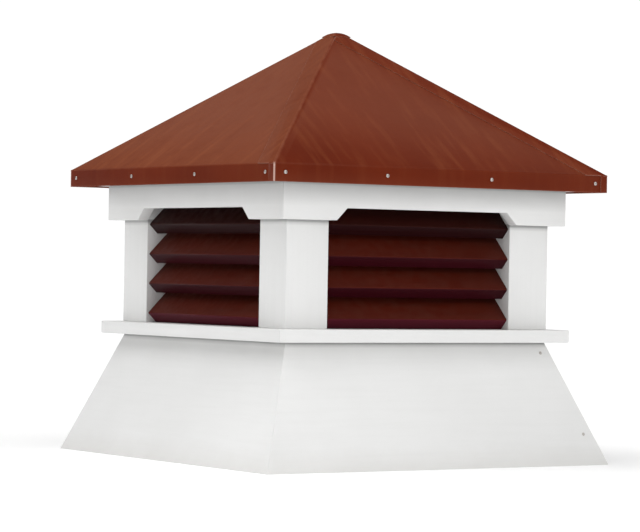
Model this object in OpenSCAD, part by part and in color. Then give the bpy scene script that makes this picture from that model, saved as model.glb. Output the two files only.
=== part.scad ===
// Louvred roof cupola with a flared skirt and a hipped sheet-metal roof.
// Millimetres, +Z up. The origin is the middle of the square on which the skirt rests,
// and the front faces -Y. Every side is alike, so each piece is drawn once for the front
// and turned about the upright axis.

/* [Skirt] */
// Width across the bottom edges of the skirt
base_w = 610; // [560:5:760]
// Height of the skirt, up to the underside of the sill
skirt_h = 183; // [120:1:260]
// Thickness of the skirt boards
skirt_t = 13; // [9:0.5:19]
// How far the top of the skirt stands inside the posts' outer faces
skirt_setback = 2; // [0:0.5:6]

/* [Sill] */
// Thickness of the sill boards
sill_t = 19; // [12:0.5:30]
// Width of the sill boards
sill_w = 76; // [70:1:100]
// How far the sill stands out beyond the posts
sill_reach = 25; // [10:1:30]

/* [Posts] */
// Width of the louvred body across its corner posts
body_w = 470; // [380:5:540]
// Width of each leg of a corner post
post_leg = 72; // [50:1:110]
// Thickness of each leg of a corner post
post_t = 38; // [36:0.5:48]
// Height of the posts, from the sill up to the soffit
post_h = 211; // [190:1:260]

/* [Frieze] */
// Thickness of the frieze boards
frieze_t = 19; // [12:0.5:25]
// Height of the frieze boards
frieze_h = 54; // [40:1:64]
// Depth of the notch in the lower edge of each frieze board
notch_h = 18; // [8:1:30]
// How far the notch's lower corners stand in from the posts' edges
notch_inset = 2; // [0:0.5:6]

/* [Louvres] */
// Number of blades on each side
blade_count = 4; // [3:1:5]
// Thickness of a blade's sheet
blade_t = 1.2; // [0.8:0.1:1.5]
// Length of a blade's upper leg, from the centre of its bend
upper_leg = 44; // [36:0.5:45]
// Length of a blade's lower leg, from the centre of its bend
lower_leg = 18; // [12:0.5:22]
// Slope of both legs from the horizontal
blade_slope = 45; // [42:1:50]
// Outer radius of the bend at a blade's nose
nose_r = 2.2; // [1.6:0.1:3]
// How far the noses stand behind the posts' outer faces
nose_setback = 4; // [1:0.5:6]
// Gap between the lip of the lowest blade and the sill
lip_gap = 0.3; // [0.2:0.1:3]
// Drop from the lower edge of the frieze to the nose of the top blade
nose_drop = 6; // [2:0.5:10]

/* [Eave] */
// How far the eave stands out beyond the posts
eave_reach = 63; // [45:1:90]
// Thickness of the soffit boards
soffit_t = 19; // [12:0.5:25]
// How far the soffit boards' inner edges stand inside the posts' outer faces
soffit_tuck = 33; // [22:1:60]
// How far the fascia's lower edge hangs below the soffit
drip = 2.5; // [1:0.5:8]
// Height left between the soffit boards and the eave's bend
eave_clear = 4.5; // [3:0.5:12]

/* [Roof] */
// Rise from the eave's bend to the point where the four slopes would meet
roof_rise = 219; // [150:1:300]
// Thickness of the roof's sheet metal
sheet_t = 0.8; // [0.5:0.1:1]
// Outer radius of the bend along the eave
eave_r = 2.5; // [1.5:0.1:4]
// Outer radius of the bend along a hip
hip_r = 6; // [4:0.5:9]
// Width of the flange that laps over a hip onto the next slope
lap_w = 30; // [15:1:45]
// Width of the tab that laps round a corner of the fascia
tab_w = 13; // [8:1:25]
// Outer radius of the bend at a corner of the fascia
corner_r = 1.6; // [1.2:0.1:3]
// Radius of the rounded tip of the roof
tip_r = 20; // [12:1:24]
// Width of the small cap over the tip
cap_w = 32; // [32:1:60]

/* [Hidden] */
SIDES = ["front", "right", "back", "left"];
RING_NODES = [for (piece = ["skirt", "sill", "corner_post", "frieze", "soffit", "roof_panel"])
    for (side = SIDES) str(piece, "_", side)];
BLADE_NODES = [for (side = SIDES) for (i = [1:blade_count]) str("louvre_", side, "_", i)];
$fn = 48;

// heights
sill_top = skirt_h + sill_t;
soffit_z = sill_top + post_h;
frieze_z = soffit_z - frieze_h;
fascia_z = soffit_z - drip;
eave_z = soffit_z + soffit_t + eave_clear;
apex_z = eave_z + roof_rise;

// half widths
body_half = body_w / 2;
opening_half = body_half - post_leg;
eave_half = body_half + eave_reach;
skirt_half = base_w / 2;
skirt_top_half = body_half - skirt_setback;

// skirt
skirt_run = skirt_half - skirt_top_half;
skirt_level_t = skirt_t * norm([skirt_run, skirt_h]) / skirt_h;

// louvres
lip_drop = lower_leg * sin(blade_slope) + nose_r * cos(blade_slope);
nose_low_z = sill_top + lip_gap + lip_drop;
blade_pitch = (frieze_z - nose_drop - nose_low_z) / (blade_count - 1);

// roof
pitch = atan(roof_rise / eave_half);
hip_pitch = atan(roof_rise / (eave_half * sqrt(2)));
hip_len = norm([eave_half, eave_half, roof_rise]);
hip_lean = asin(sin(pitch) / sqrt(2));
hip_bend = [sheet_t / (2 * sin(hip_lean)), (sheet_t - 2 * hip_r) / (2 * cos(hip_lean))];
under_gap = hip_bend.x + (hip_r - sheet_t) * sin(hip_lean);
own_gap = hip_r * sin(hip_lean) - hip_bend.x + 0.5;
join_w = hip_r + 4;
tip_open = tip_r * sin(pitch) + 0.3;
bend_steps = 8;
beyond = 5;

// turns the front's piece to another side
module turn_to(side) {
    rotate([0, 0, 90 * side]) children();
}

// draws a section that is given as (y, z), drawn out along X and centred
module along_x(len) {
    translate([-len / 2, 0, 0]) rotate([90, 0, 90]) linear_extrude(len) children();
}

// one mitred board of a level square frame
module frame_board(outer, width, thick) {
    inner = outer - width;
    linear_extrude(thick)
        polygon([[-outer, -outer], [outer, -outer], [inner, -inner], [-inner, -inner]]);
}

// points along an arc about the origin
function arc(r, from, to) =
    [for (i = [0:bend_steps]) r * [cos(from + (to - from) * i / bend_steps),
        sin(from + (to - from) * i / bend_steps)]];

// section of a folded strip: a bend about the origin between the directions that its two legs
// face, and the legs themselves, which run off straight from the bend's ends
module folded_strip(r_out, thick, from, to, from_leg, to_leg) {
    r_in = r_out - thick;
    from_end = from_leg * [sin(from), -cos(from)];
    to_end = to_leg * [-sin(to), cos(to)];
    polygon(concat([r_out * [cos(from), sin(from)] + from_end], arc(r_out, from, to),
        [r_out * [cos(to), sin(to)] + to_end, r_in * [cos(to), sin(to)] + to_end],
        arc(r_in, to, from), [r_in * [cos(from), sin(from)] + from_end]));
}

// flared board with mitred ends
module skirt() {
    color("white") intersection() {
        along_x(base_w) polygon([[-skirt_half, 0], [-skirt_top_half, skirt_h],
            [-skirt_top_half + skirt_level_t, skirt_h], [-skirt_half + skirt_level_t, 0]]);
        linear_extrude(skirt_h)
            polygon([[0, 0], [-skirt_half, -skirt_half], [skirt_half, -skirt_half]]);
    }
}

// level board that carries the posts
module sill() {
    color("white") translate([0, 0, skirt_h]) frame_board(body_half + sill_reach, sill_w, sill_t);
}

// L-shaped post at the side's left-hand corner
module corner_post() {
    color("white") translate([-body_half, -body_half, sill_top]) linear_extrude(post_h)
        polygon([[0, 0], [post_leg, 0], [post_leg, post_t], [post_t, post_t],
            [post_t, post_leg], [0, post_leg]]);
}

// board over the opening, with a shallow notch in its lower edge
module frieze() {
    low = opening_half - notch_inset;
    color("white") translate([0, 0, frieze_z]) difference() {
        frame_board(body_half + frieze_t, frieze_t, frieze_h);
        translate([0, beyond - body_half, 0]) rotate([90, 0, 0])
            linear_extrude(frieze_t + 2 * beyond) polygon([[-low - beyond, -beyond],
                [low + beyond, -beyond], [low - notch_h, notch_h], [notch_h - low, notch_h]]);
    }
}

// level board under the eave, to whose edge the fascia is screwed
module soffit() {
    color("white") translate([0, 0, soffit_z])
        frame_board(eave_half - sheet_t, eave_reach - sheet_t + soffit_tuck, soffit_t);
}

// folded blade between two posts: the nose points out and both legs run inward
module louvre(i) {
    nose_z = nose_low_z + (blade_count - i) * blade_pitch;
    color([0.27, 0.1, 0.08]) translate([0, nose_setback + nose_r - body_half, nose_z])
        along_x(2 * opening_half) folded_strip(nose_r, blade_t, 90 + blade_slope,
            270 - blade_slope, upper_leg, lower_leg);
}

// upright section of the whole roof from eave to eave, grown by a distance
module roof_section(grow) {
    bend = [eave_half - eave_r, eave_z - eave_r * (1 - sin(pitch)) / cos(pitch)];
    r = eave_r + grow;
    foot = fascia_z + min(grow, 0);
    polygon([[-bend.x - r, foot], [-bend.x - r, bend.y],
        [-bend.x - r * sin(pitch), bend.y + r * cos(pitch)], [0, apex_z + grow / cos(pitch)],
        [bend.x + r * sin(pitch), bend.y + r * cos(pitch)], [bend.x + r, bend.y],
        [bend.x + r, foot]]);
    for (end = [-1, 1]) translate([end * bend.x, bend.y]) circle(r);
}

// everything under the front slope's surface, or under the left slope's, grown by a distance
module under_front(grow) {
    along_x(2 * (eave_half + beyond)) roof_section(grow);
}
module under_left(grow) {
    rotate([0, 0, -90]) under_front(grow);
}

// slope and fascia, short of both hips and of the tip
module slope_sheet() {
    far = eave_half + beyond;
    own = own_gap * sqrt(2);
    under = under_gap * sqrt(2);
    intersection() {
        difference() {
            under_front(0);
            under_front(-sheet_t);
        }
        translate([0, 0, fascia_z]) linear_extrude(apex_z - fascia_z)
            polygon([[own - far, -far], [far - under, -far], [tip_open - under, -tip_open],
                [own - tip_open, -tip_open]]);
    }
}

// rounded hip with the flange that laps onto the left-hand slope
module hip_strip() {
    far = eave_half + beyond;
    intersection() {
        translate([-eave_half, -eave_half, eave_z]) rotate([0, 0, 45]) rotate([0, -hip_pitch, 0])
            translate([hip_len / 2, 0, 0]) along_x(hip_len + 4 * beyond) translate(hip_bend)
                folded_strip(hip_r, sheet_t, 90 - hip_lean, 90 + hip_lean, lap_w, join_w);
        under_front(0);
        under_left(sheet_t);
        translate([0, 0, fascia_z]) linear_extrude(apex_z - fascia_z)
            polygon([[-far, -far], [-join_w, -far], [-join_w, -2 * join_w], [-tip_open, -tip_open],
                [-tip_open, tip_open - own_gap * 2], [-far, far - own_gap * 2]]);
    }
}

// rounded corner of the fascia with the tab that laps onto the left-hand side
module fascia_corner() {
    intersection() {
        translate([-eave_half - sheet_t + corner_r, -eave_half + corner_r, fascia_z])
            linear_extrude(eave_z - fascia_z + beyond)
                folded_strip(corner_r, sheet_t, 180, 270, tab_w - corner_r, join_w);
        under_front(0);
        under_left(sheet_t);
    }
}

// one folded panel: slope, fascia, and the laps at its left-hand hip and corner
module roof_panel() {
    color([0.48, 0.22, 0.14]) union() {
        slope_sheet();
        hip_strip();
        fascia_corner();
    }
}

// section of the rounded tip, grown by a distance
module tip_section(grow) {
    r = tip_r + grow;
    centre_z = apex_z - tip_r / cos(pitch);
    low = 2 * cap_w;
    polygon([[-r * sin(pitch), centre_z + r * cos(pitch)],
        [-low, apex_z + grow / cos(pitch) - low * tan(pitch)],
        [low, apex_z + grow / cos(pitch) - low * tan(pitch)],
        [r * sin(pitch), centre_z + r * cos(pitch)]]);
    translate([0, centre_z]) circle(r);
}

// solid tip, grown by a distance
module tip_solid(grow) {
    intersection() {
        along_x(4 * cap_w) tip_section(grow);
        rotate([0, 0, 90]) along_x(4 * cap_w) tip_section(grow);
    }
}

// small cap that closes the tip over the four laps
module roof_cap() {
    color([0.48, 0.22, 0.14]) intersection() {
        difference() {
            tip_solid(2 * sheet_t);
            tip_solid(sheet_t);
        }
        translate([-cap_w / 2, -cap_w / 2, apex_z - cap_w]) cube([cap_w, cap_w, 2 * cap_w]);
    }
}

for (k = [0:3]) turn_to(k) {
    skirt();
    sill();
    corner_post();
    frieze();
    soffit();
    roof_panel();
    for (i = [1:blade_count])
        louvre(i);
}
roof_cap();
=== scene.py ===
import math

import bmesh
import bpy
from mathutils import Matrix, Vector


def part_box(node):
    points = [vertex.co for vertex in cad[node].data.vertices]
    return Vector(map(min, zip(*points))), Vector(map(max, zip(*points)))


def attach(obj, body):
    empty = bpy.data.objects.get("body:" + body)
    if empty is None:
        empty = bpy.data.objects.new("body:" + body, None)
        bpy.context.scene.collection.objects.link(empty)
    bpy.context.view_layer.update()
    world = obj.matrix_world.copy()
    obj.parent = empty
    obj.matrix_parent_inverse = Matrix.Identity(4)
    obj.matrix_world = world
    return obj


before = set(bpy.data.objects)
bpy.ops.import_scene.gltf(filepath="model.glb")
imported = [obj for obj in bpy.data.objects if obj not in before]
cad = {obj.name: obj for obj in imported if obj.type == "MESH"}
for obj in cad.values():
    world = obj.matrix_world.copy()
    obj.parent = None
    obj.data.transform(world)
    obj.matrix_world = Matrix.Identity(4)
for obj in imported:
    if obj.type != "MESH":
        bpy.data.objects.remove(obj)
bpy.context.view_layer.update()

sides = ("front", "right", "back", "left")


# The skirt: four flared boards of cellular PVC, 13 mm thick, mitred and glued at the corners,
# satin, with fine lines along each board and edges eased with a block plane. Dust lies near the
# foot. A grey band of painted shade, with a darker painted shadow line, runs just under the sill.
class Wire:
    def __init__(self, shop, socket):
        self.shop, self.socket = shop, socket

    def _math(self, operation, first, second):
        return self.shop.node("ShaderNodeMath", {"operation": operation}, {0: first, 1: second})

    def __add__(self, other):
        return self._math("ADD", self, other)

    __radd__ = __add__

    def __sub__(self, other):
        return self._math("SUBTRACT", self, other)

    def __rsub__(self, other):
        return self._math("SUBTRACT", other, self)

    def __mul__(self, other):
        return self._math("MULTIPLY", self, other)

    __rmul__ = __mul__

    def size(self):
        return self._math("ABSOLUTE", self, 0.0)


class Bench:
    def __init__(self, tree):
        self.tree = tree

    def node(self, kind, settings, inputs, output=0):
        made = self.tree.nodes.new(kind)
        for name, value in settings.items():
            setattr(made, name, value)
        for name, value in inputs.items():
            self._feed(made.inputs[name], value)
        return Wire(self, made.outputs[output])

    def _feed(self, socket, value):
        if isinstance(value, Wire):
            self.tree.links.new(value.socket, socket)
        else:
            socket.default_value = value


class Shop(Bench):
    def __init__(self, name):
        self.material = bpy.data.materials.new(name)
        self.material.use_nodes = True
        super().__init__(self.material.node_tree)
        self.shader = self.tree.nodes["Principled BSDF"]
        self.place = self.node("ShaderNodeTexCoord", {}, {}, "Object")

    def finish(self, **inputs):
        for name, value in inputs.items():
            self._feed(self.shader.inputs[name.replace("_", " ")], value)
        return self.material

    def along(self, stretch):
        return self.node("ShaderNodeVectorMath", {"operation": "MULTIPLY"}, {0: self.place, 1: stretch})

    def noise(self, scale, detail=2.0, stretch=(1, 1, 1)):
        return self.node("ShaderNodeTexNoise", {}, {"Vector": self.along(stretch), "Scale": scale,
                                                    "Detail": detail})

    def between(self, value, low, high):
        return self.node("ShaderNodeMapRange", {}, {"Value": value, "From Min": low, "From Max": high})

    def tint(self, amount, colour, other):
        return self.node("ShaderNodeMix", {"data_type": "RGBA"}, {0: amount, 6: colour, 7: other}, 2)

    def edge(self, reach, sharpness):
        rounded = self.node("ShaderNodeBevel", {"samples": 6}, {"Radius": reach})
        face = self.node("ShaderNodeNewGeometry", {}, {}, "Normal")
        alike = self.node("ShaderNodeVectorMath", {"operation": "DOT_PRODUCT"}, {0: rounded, 1: face}, 1)
        return self.between(1 - alike, 0.0, sharpness)

    def axis(self, index):
        return self.node("ShaderNodeSeparateXYZ", {}, {0: self.place}, index)

    def upward(self):
        face = self.node("ShaderNodeNewGeometry", {}, {}, "Normal")
        return self.node("ShaderNodeSeparateXYZ", {}, {0: face}, 2)

    def bump(self, height, depth, under=None):
        inputs = {"Height": height, "Distance": depth, "Strength": 1.0}
        if under is not None:
            inputs["Normal"] = under
        return self.node("ShaderNodeBump", {}, inputs)


def pvc(name, stretch, foot=None, under=None, reach=0.008):
    shadow_line_high, shadow_line_low = 0.0022, 0.0042
    board_white = (0.815, 0.815, 0.808, 1)
    board_shade = (0.750, 0.750, 0.740, 1)
    shade_grey = (0.26, 0.26, 0.26, 1)
    dust = (0.52, 0.49, 0.44, 1)
    planed = (0.90, 0.90, 0.895, 1)
    shop = Shop(name)
    cloud = shop.noise(9, 3)
    lines = shop.noise(60, 4, stretch)
    specks = shop.between(shop.noise(420, 2), 0.66, 0.76)
    worn = shop.edge(0.0018, 0.12)
    colour = shop.tint(0.35 * shop.between(cloud, 0.35, 0.7), board_white, board_shade)
    colour = shop.tint(0.25 * shop.between(lines, 0.45, 0.75), colour, board_shade)
    colour = shop.tint(0.10 * specks, colour, dust)
    colour = shop.tint(0.55 * worn, colour, planed)
    settled = 0.16 * shop.between(shop.upward(), 0.6, 0.95) * shop.between(shop.noise(30, 4), 0.3, 0.7)
    colour = shop.tint(settled, colour, dust)
    if foot is not None:
        splash = shop.between(shop.axis(2) + 0.02 * shop.noise(45, 4), foot, 0.006)
        colour = shop.tint(0.22 * splash, colour, dust)
    # Painted shade: just below the board above (sill, frieze or soffit) a grey band stands in for its
    # shadow, fading downwards over the reach, with a darker painted shadow line close under it.
    if under is not None:
        below = shop.between(shop.axis(2), under + 0.0020, under + 0.0005)
        shade_fade = shop.between(shop.axis(2) + 0.12 * reach * shop.noise(24, 4), under - reach, under)
        colour = shop.tint(0.62 * below * shade_fade, colour, shade_grey)
        shadow_line = shop.between(shop.axis(2), under - shadow_line_low, under - shadow_line_high)
        colour = shop.tint(0.55 * below * shadow_line, colour, shade_grey)
    skin = shop.bump(shop.noise(1400, 2), 0.00006)
    skin = shop.bump(lines, 0.00012, skin)
    skin = shop.bump(cloud, 0.0005, skin)
    return shop.finish(Base_Color=colour, Roughness=0.40 + 0.12 * lines - 0.10 * worn,
                       Specular_IOR_Level=0.35, Normal=skin)


def dress(name, material, round_off):
    one_place = 0.00001
    one_plane = math.radians(0.4)
    real_edge = math.radians(25)
    node = cad[name]
    node.data.materials.clear()
    node.data.materials.append(material)
    node.data.polygons.foreach_set("use_smooth", [True] * len(node.data.polygons))
    weld = node.modifiers.new("weld", "WELD")
    weld.merge_threshold = one_place
    flat = node.modifiers.new("flat", "DECIMATE")
    flat.decimate_type = "DISSOLVE"
    flat.angle_limit = one_plane
    bevel = node.modifiers.new("eased_edges", "BEVEL")
    bevel.width = round_off
    bevel.segments = 2
    bevel.limit_method = "ANGLE"
    bevel.angle_limit = real_edge
    bevel.harden_normals = True


lines_level = (0.15, 0.15, 3.0)
planed_edge = 0.0009
skirt_skin = pvc("skirt_pvc", lines_level, foot=0.045, under=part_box("sill_front")[0].z)
for side in sides:
    dress(f"skirt_{side}", skirt_skin, planed_edge)


# The sill and the frieze: level PVC boards, 19 mm thick, mitred at the corners. Their lines run
# level. A faint film of dust lies on the upper face of the sill. The upper frieze is darkened with
# grey painted shade for the eave's shadow, with a painted shadow line just under the soffit.
level_skin = pvc("level_pvc", lines_level)
frieze_skin = pvc("frieze_pvc", lines_level, under=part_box("soffit_front")[0].z, reach=0.032)
soft_edge = 0.0010
for side in sides:
    dress(f"sill_{side}", level_skin, soft_edge)
    dress(f"frieze_{side}", frieze_skin, planed_edge)


# The corner posts: two legs of PVC glued into an L, which stand on the sill. Their lines run
# up and down, and a grey painted shadow darkens them just under the frieze.
lines_upright = (2.4, 2.4, 0.12)
upright_skin = pvc("upright_pvc", lines_upright, under=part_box("frieze_front")[0].z)
for side in sides:
    dress(f"corner_post_{side}", upright_skin, soft_edge)


# The soffit: four PVC boards laid level under the eave and mitred at the corners. They close the
# roof, and the fascia is screwed to their edges.
for side in sides:
    dress(f"soffit_{side}", level_skin, planed_edge)


# The louvre blades: sheet metal, 1.2 mm thick, folded to a nose and fixed between the posts. The
# red-brown coat has faded on the upper legs. The dark maroon underneath is partly the coat's own colour
# and partly painted shade. The top blades are darkened with painted shade, and the lowest lips are
# lightened with painted light from the sill below.
def blade_coat(name, painted_shade, underside_colour_and_light):
    faded = (0.086, 0.0100, 0.0040, 1)
    deep = (0.063, 0.0072, 0.0034, 1)
    unfaded_and_shade = (0.012, 0.0028, 0.0026, 1)
    rubbed = (0.20, 0.042, 0.026, 1)
    dust = (0.16, 0.10, 0.075, 1)
    shop = Shop(name)
    cloud = shop.noise(9, 3)
    lines = shop.noise(34, 4, (0.12, 0.12, 3.0))
    peel = shop.noise(900, 2)
    worn = shop.edge(0.0011, 0.12)
    colour = shop.tint(0.45 * shop.between(cloud, 0.35, 0.7), faded, deep)
    colour = shop.tint(0.50 * shop.between(lines, 0.42, 0.70), colour, deep)
    # Downward faces turn towards the underside colour, partly the coat's own maroon and partly painted
    # shade; on the lowest blades it is painted light from the sill.
    colour = shop.tint(shop.between(shop.upward(), 0.25, -0.45), colour, underside_colour_and_light)
    settled = shop.between(shop.upward(), 0.4, 0.75) * shop.between(shop.noise(70, 5), 0.38, 0.75)
    colour = shop.tint(0.10 * settled, colour, dust)
    # Painted shade: the top blades turn towards this dark tone, and all blades a little along their
    # lines.
    colour = shop.tint(painted_shade + 0.1 * lines, colour, unfaded_and_shade)
    colour = shop.tint(0.30 * worn, colour, rubbed)
    skin = shop.bump(peel, 0.00008)
    skin = shop.bump(lines, 0.00025, skin)
    return shop.finish(Base_Color=colour, Roughness=0.44 + 0.25 * settled - 0.08 * worn,
                       Specular_IOR_Level=0.05, Normal=skin)


# Painted light and shade: the lowest lips get a paler maroon for light bounced off the sill, and the top
# blades a dark painted shade.
lip_maroon_and_shade = (0.034, 0.0024, 0.0054, 1)
sill_lit_maroon = (0.105, 0.0110, 0.0220, 1)
top_blade_shade = 0.72
top_skin = blade_coat("top_blade_coat", top_blade_shade, lip_maroon_and_shade)
blade_skin = blade_coat("blade_coat", 0.0, lip_maroon_and_shade)
low_skin = blade_coat("low_blade_coat", 0.0, sill_lit_maroon)
cut_edge = 0.00025
for side in sides:
    for row, skin in enumerate((top_skin, blade_skin, blade_skin, low_skin), 1):
        dress(f"louvre_{side}_{row}", skin, cut_edge)


# The roof: four panels of sheet metal, 0.8 mm thick, each folded down into its fascia and over
# the next hip. The copper-brown coat has weathered in patches and runs, and the left slope is
# painted paler as a painted sheen for the reflection and stronger light on that side. It is rubbed
# along the folds, and bare metal shows at the cut edges and at the fascia's corners, where the
# bright line also serves as a painted highlight.
def roof_coat():
    eave_bend = 0.0045
    copper = (0.137, 0.0155, 0.0020, 1)
    deep = (0.107, 0.0108, 0.0016, 1)
    weathered_and_sheen = (0.236, 0.0600, 0.0200, 1)
    rubbed = (0.26, 0.082, 0.044, 1)
    bare_and_glint = (0.62, 0.42, 0.36, 1)
    eave_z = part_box("soffit_front")[1].z + eave_bend
    shop = Shop("roof_coat")
    x, y = shop.axis(0), shop.axis(1)
    on_side = shop.between(x.size() - y.size(), -0.002, 0.002)
    on_slope = shop.between(shop.axis(2), eave_z - 0.002, eave_z + 0.002)
    # Painted sheen: the left slope is tinted paler for the reflection and stronger light it gets.
    left_sheen = on_side * on_slope * shop.between(x, 0.004, -0.004)
    from_fold = (x.size() - y.size()).size()
    cloud = shop.noise(7, 4)
    patch = shop.noise(34, 4)
    across_slope = shop.noise(26, 3, (3.0, 0.35, 0.35))
    along_slope = shop.noise(26, 3, (0.35, 3.0, 0.35))
    run = across_slope + on_side * (along_slope - across_slope)
    peel = shop.noise(1100, 2)
    worn = shop.edge(0.0024, 0.16)
    cut = shop.edge(0.0005, 0.20)
    fold = shop.between(from_fold, 0.0040, 0.0012) * shop.between(shop.noise(60, 4), 0.25, 0.6)
    # Bare metal along the fascia's corner folds, painted bright enough to serve as a painted highlight
    # there too.
    corner_bare_and_glint = shop.between(from_fold, 0.0021, 0.0012) * (1 - on_slope)
    colour = shop.tint(0.7 * shop.between(cloud, 0.38, 0.68), copper, deep)
    streak = (0.10 + 0.20 * on_slope) * shop.between(run, 0.5, 0.72)
    colour = shop.tint(0.58 * left_sheen + streak, colour, weathered_and_sheen)
    colour = shop.tint(0.22 * shop.between(patch, 0.52, 0.72), colour, deep)
    colour = shop.tint(0.40 * fold, colour, rubbed)
    colour = shop.tint(0.50 * worn, colour, rubbed)
    colour = shop.tint(0.55 * cut, colour, bare_and_glint)
    colour = shop.tint(0.80 * corner_bare_and_glint, colour, bare_and_glint)
    skin = shop.bump(peel, 0.00006)
    skin = shop.bump(shop.noise(9, 2), 0.0022, skin)
    return shop.finish(Base_Color=colour, Roughness=0.46 + 0.14 * patch + 0.05 * run - 0.08 * worn,
                       Specular_IOR_Level=0.08, Normal=skin)


roof_skin = roof_coat()
panel_edge = 0.00018
cap_edge = 0.0002
for side in sides:
    dress(f"roof_panel_{side}", roof_skin, panel_edge)
dress("roof_cap", roof_skin, cap_edge)


# The fascia screws: four to a side, stainless pan heads 5.6 mm across with a cross recess.
# They are driven through the fascia into the edge of the soffit.
def stainless():
    bright = (0.62, 0.58, 0.55, 1)
    dull = (0.36, 0.33, 0.31, 1)
    shop = Shop("stainless_steel")
    grain = shop.noise(1300, 3)
    colour = shop.tint(shop.between(grain, 0.4, 0.7), bright, dull)
    return shop.finish(Base_Color=colour, Metallic=0.9, Roughness=0.26 + 0.18 * grain,
                       Normal=shop.bump(grain, 0.00003))


def lathe(profile, steps):
    bm = bmesh.new()
    last = None
    for radius, height in profile:
        vert = bm.verts.new((radius, 0, height))
        if last is not None:
            bm.edges.new((last, vert))
        last = vert
    bmesh.ops.spin(bm, geom=bm.verts[:] + bm.edges[:], cent=(0, 0, 0), axis=(0, 0, 1),
                   angle=math.tau, steps=steps, use_merge=True)
    bmesh.ops.remove_doubles(bm, verts=bm.verts, dist=0.000001)
    bmesh.ops.recalc_face_normals(bm, faces=bm.faces)
    return bm


def pan_head(radius, height, recess, slot_w, slot_deep):
    rim = height * 0.35
    crown_steps = 6
    crown_angles = [math.radians(90 / crown_steps * step) for step in range(crown_steps)]
    crown = [(radius * math.cos(t), rim + (height - rim) * math.sin(t)) for t in crown_angles]
    bm = lathe([(0, 0), (radius, 0)] + crown + [(0, height)], 24)
    for axis in ((1, 0, 0), (0, 1, 0)):
        for half in (-slot_w / 2, -recess / 2, slot_w / 2, recess / 2):
            bmesh.ops.bisect_plane(bm, geom=bm.verts[:] + bm.edges[:] + bm.faces[:], dist=0.000001,
                                   plane_co=Vector(axis) * half, plane_no=axis)
    cross = []
    for face in bm.faces:
        x, y, z = (abs(value) for value in face.calc_center_median())
        inside = max(x, y) < recess / 2 and min(x, y) < slot_w / 2
        if inside and face.normal.z > 0.3 and z > rim:
            cross.append(face)
    walls = bmesh.ops.extrude_face_region(bm, geom=cross)
    sunk = [part for part in walls["geom"] if isinstance(part, bmesh.types.BMVert)]
    bmesh.ops.delete(bm, geom=cross, context="FACES_ONLY")
    bmesh.ops.translate(bm, verts=sunk, vec=(0, 0, -slot_deep))
    bmesh.ops.recalc_face_normals(bm, faces=bm.faces)
    return bm


def hang(bm, name, material):
    crease = math.radians(30)
    mesh = bpy.data.meshes.new(name)
    bm.to_mesh(mesh)
    bm.free()
    mesh.materials.append(material)
    mesh.shade_smooth()
    mesh.set_sharp_from_angle(angle=crease)
    piece = bpy.data.objects.new(name, mesh)
    bpy.context.scene.collection.objects.link(piece)
    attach(piece, "root")


head_r, head_h = 0.0028, 0.0015
recess_w, slot_w, slot_deep = 0.0030, 0.0007, 0.0008
sheet_t = 0.0008
above_middle = 0.0015
turn_by_screw, turn_by_side = 0.7, 1.9
soffit_low, soffit_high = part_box("soffit_front")
screw_z = (soffit_low.z + soffit_high.z) / 2 + above_middle
screw_xs = (-0.279, -0.105, 0.081, 0.275)
steel_skin = stainless()
facing_out = Matrix.Rotation(math.radians(90), 4, "X")
for k, side in enumerate(sides):
    for i, x in enumerate(screw_xs, 1):
        head = pan_head(head_r, head_h, recess_w, slot_w, slot_deep)
        spin = Matrix.Rotation(turn_by_screw * i + turn_by_side * k, 4, "Z")
        seat = Matrix.Translation((x, soffit_low.y - sheet_t, screw_z)) @ facing_out
        turn = Matrix.Rotation(math.radians(90 * k), 4, "Z")
        bmesh.ops.transform(head, matrix=turn @ seat @ spin, verts=head.verts)
        hang(head, f"fascia_screw_{side}_{i}", steel_skin)


# The skirt screws: stainless heads 5 mm across, two beside the right-hand mitre of the front
# board and of the back board, driven square to the slope into the edge of the next board.
skirt_low, skirt_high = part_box("skirt_front")
setback = 0.002
skirt_top_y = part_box("corner_post_front")[0].y + setback
skirt_run = skirt_top_y - skirt_low.y
square_on = math.radians(90) - math.atan2(skirt_run, skirt_high.z)
from_mitre = 0.018
from_top = 0.016
from_foot = 0.046
small_r, small_h = 0.0025, 0.0010
small_recess_w, small_slot_w, small_slot_deep = 0.0026, 0.0006, 0.0005
turn_by_small_screw = 0.9
for side, half_turn in (("front", 0), ("back", math.pi)):
    for i, z in enumerate((skirt_high.z - from_top, from_foot), 1):
        y = skirt_low.y + skirt_run * z / skirt_high.z
        head = pan_head(small_r, small_h, small_recess_w, small_slot_w, small_slot_deep)
        spin = Matrix.Rotation(turn_by_small_screw * i + half_turn, 4, "Z")
        seat = Matrix.Translation((-y - from_mitre, y, z)) @ Matrix.Rotation(square_on, 4, "X")
        turn = Matrix.Rotation(half_turn, 4, "Z")
        bmesh.ops.transform(head, matrix=turn @ seat @ spin, verts=head.verts)
        hang(head, f"skirt_screw_{side}_{i}", steel_skin)


# The studio: a pale paper floor that glows softly in a white room, with broad lights high on the
# left and in front and a weak one low in front, and the camera.
def paper(glow):
    shop = Shop("studio_paper")
    colour = shop.tint(shop.noise(2), (0.93, 0.93, 0.93, 1), (0.90, 0.90, 0.90, 1))
    return shop.finish(Base_Color=colour, Roughness=0.9, Emission_Color=colour, Emission_Strength=glow)


floor_r = 60
floor_glow = 0.20
room_glow = 0.60
ceiling_glow = 0.22
high_power = 1.85
front_power = 1.05
low_power = 0.36
bm = bmesh.new()
bmesh.ops.create_circle(bm, cap_ends=True, segments=96, radius=floor_r)
floor_mesh = bpy.data.meshes.new("floor")
bm.to_mesh(floor_mesh)
bm.free()
floor_mesh.materials.append(paper(floor_glow))
floor = bpy.data.objects.new("floor", floor_mesh)
bpy.context.scene.collection.objects.link(floor)

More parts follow.
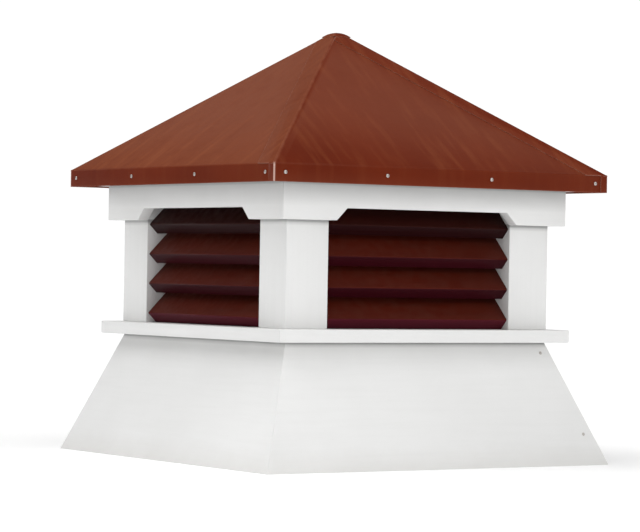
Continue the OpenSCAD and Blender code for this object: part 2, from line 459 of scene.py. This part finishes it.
world = bpy.data.worlds.new("studio")
world.use_nodes = True
room = Bench(world.node_tree)
way = room.node("ShaderNodeTexCoord", {}, {}, "Generated")
rise = room.node("ShaderNodeSeparateXYZ", {}, {0: way}, 2)
glow = room.node("ShaderNodeMapRange", {}, {"Value": rise, "From Min": 0.05, "From Max": 0.35,
                                            "To Min": room_glow, "To Max": ceiling_glow})
walls = room.node("ShaderNodeBackground", {}, {"Color": glow, "Strength": 1.0})
backdrop = room.node("ShaderNodeBackground", {}, {"Color": (1, 1, 1, 1), "Strength": 1.05})
seen = room.node("ShaderNodeLightPath", {}, {}, "Is Camera Ray")
either = room.node("ShaderNodeMixShader", {}, {0: seen, 1: walls, 2: backdrop})
world.node_tree.links.new(either.socket, world.node_tree.nodes["World Output"].inputs[0])
bpy.context.scene.world = world


def broad_light(name, power, spread, toward):
    lamp = bpy.data.lights.new(name, "SUN")
    lamp.energy = power
    lamp.angle = math.radians(spread)
    holder = bpy.data.objects.new(name, lamp)
    holder.rotation_mode = "QUATERNION"
    holder.rotation_quaternion = Vector(toward).to_track_quat("Z", "Y")
    bpy.context.scene.collection.objects.link(holder)


broad_light("high_left", high_power, 60, (-0.46, 0.15, 0.87))
broad_light("high_front", front_power, 60, (0.25, -0.65, 0.72))
broad_light("low_front", low_power, 40, (0.10, -0.98, 0.12))

stand = (-2.508, -3.786, 0.290)
azimuth, elevation, roll = math.radians(-33.281), math.radians(-0.038), math.radians(0.974)
ahead = Vector((-math.sin(azimuth) * math.cos(elevation), math.cos(azimuth) * math.cos(elevation),
                -math.sin(elevation)))
level = Vector((math.cos(azimuth), math.sin(azimuth), 0))
plumb = level.cross(ahead)
across = math.cos(roll) * level + math.sin(roll) * plumb
upward = math.cos(roll) * plumb - math.sin(roll) * level
camera = bpy.data.objects.new("camera", bpy.data.cameras.new("camera"))
camera.data.lens = 165.9
camera.data.clip_end = 200
camera.matrix_world = Matrix.Translation(stand) @ Matrix(
    (across, upward, -ahead)).transposed().to_4x4()
bpy.context.scene.collection.objects.link(camera)
bpy.context.scene.camera = camera
bpy.context.scene.view_settings.view_transform = "Standard"
